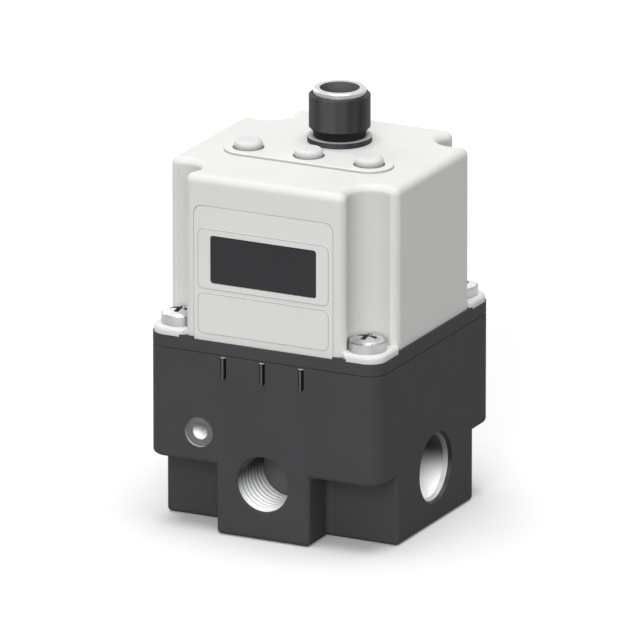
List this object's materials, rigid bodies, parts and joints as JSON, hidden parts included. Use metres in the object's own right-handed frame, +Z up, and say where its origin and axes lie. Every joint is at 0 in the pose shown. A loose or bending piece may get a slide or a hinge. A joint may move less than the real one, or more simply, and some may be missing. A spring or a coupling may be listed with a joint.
{
  "type": "electro pneumatic regulator",
  "caption": "Square pneumatic pressure regulator with a dark cast body, pipe ports, a pale hooded control head with display and push buttons, and a round plug connector.",
  "frame": {"origin": "middle of the foot's underside", "axes": "+X out of the supply port, -Y out of the front exhaust port, +Z up towards the connector"},
  "size_m": [0.05, 0.0505, 0.0824],
  "materials": {
    "body_paint": "satin",
    "cover_plastic": "satin",
    "panel_plastic": "satin",
    "button_plastic": "satin",
    "window_plastic": "gloss",
    "plated_steel": "bright plated",
    "connector_black": "satin",
    "bright_metal": "turned",
    "contact_gold": "plated",
    "board_laminate": "satin",
    "black_plastic": "matte",
    "coil_plastic": "matte",
    "rubber_seal": "matte",
    "turned_brass": "turned",
    "steel": "turned"
  },
  "bodies": {
    "housing": {"main_body": "body_paint", "pilot_plate": "body_paint", "cover": "cover_plastic", "front_panel": "panel_plastic", "display_window": "window_plastic", "cover_screws": "plated_steel", "cover_gasket": "rubber_seal", "connector_flange": "connector_black", "connector_shell": "connector_black", "connector_sleeve": "bright_metal", "connector_insert": "black_plastic", "connector_o_ring": "rubber_seal", "connector_nut": "bright_metal", "contact_pins": "contact_gold", "control_board": "board_laminate", "board_screws": "steel", "display_board": "board_laminate", "display_module": "black_plastic", "board_header": "black_plastic", "tactile_switches": "black_plastic", "supply_solenoid": "coil_plastic", "exhaust_solenoid": "coil_plastic", "solenoid_gaskets": "rubber_seal", "solenoid_screws": "steel", "pressure_sensor": "coil_plastic", "sensor_o_ring": "rubber_seal", "diaphragm": "rubber_seal", "valve_spring": "steel", "bottom_plug": "steel", "plug_o_rings": "rubber_seal", "guide_o_ring": "rubber_seal", "retaining_ring": "steel"},
    "down_button": {"down_button": "button_plastic", "down_plunger": "black_plastic"},
    "set_button": {"set_button": "button_plastic", "set_plunger": "black_plastic"},
    "up_button": {"up_button": "button_plastic", "up_plunger": "black_plastic"},
    "supply_valve": {"supply_valve": "turned_brass"},
    "diaphragm_unit": {"upper_disc": "steel", "lower_disc": "steel", "valve_stem": "turned_brass", "stem_nut": "steel"}
  },
  "joints": [
    {"name": "down_press", "type": "slide", "parent": "housing", "child": "down_button", "axis": [0, 0, -1], "range_m": [0, 0.0005], "stiffness_N_per_m": 600, "springref_m": -0.0005},
    {"name": "set_press", "type": "slide", "parent": "housing", "child": "set_button", "axis": [0, 0, -1], "range_m": [0, 0.0005], "stiffness_N_per_m": 600, "springref_m": -0.0005},
    {"name": "up_press", "type": "slide", "parent": "housing", "child": "up_button", "axis": [0, 0, -1], "range_m": [0, 0.0005], "stiffness_N_per_m": 600, "springref_m": -0.0005},
    {"name": "valve_open", "type": "slide", "parent": "housing", "child": "supply_valve", "axis": [0, 0, -1], "range_m": [0, 0.0012], "stiffness_N_per_m": 1500, "springref_m": -0.001, "deforming": ["valve_spring", "diaphragm"]},
    {"name": "diaphragm_lift", "type": "slide", "parent": "supply_valve", "child": "diaphragm_unit", "axis": [0, 0, 1], "range_m": [0, 0.0008], "stiffness_N_per_m": 200, "springref_m": -0.001, "deforming": ["diaphragm"]}
  ]
}
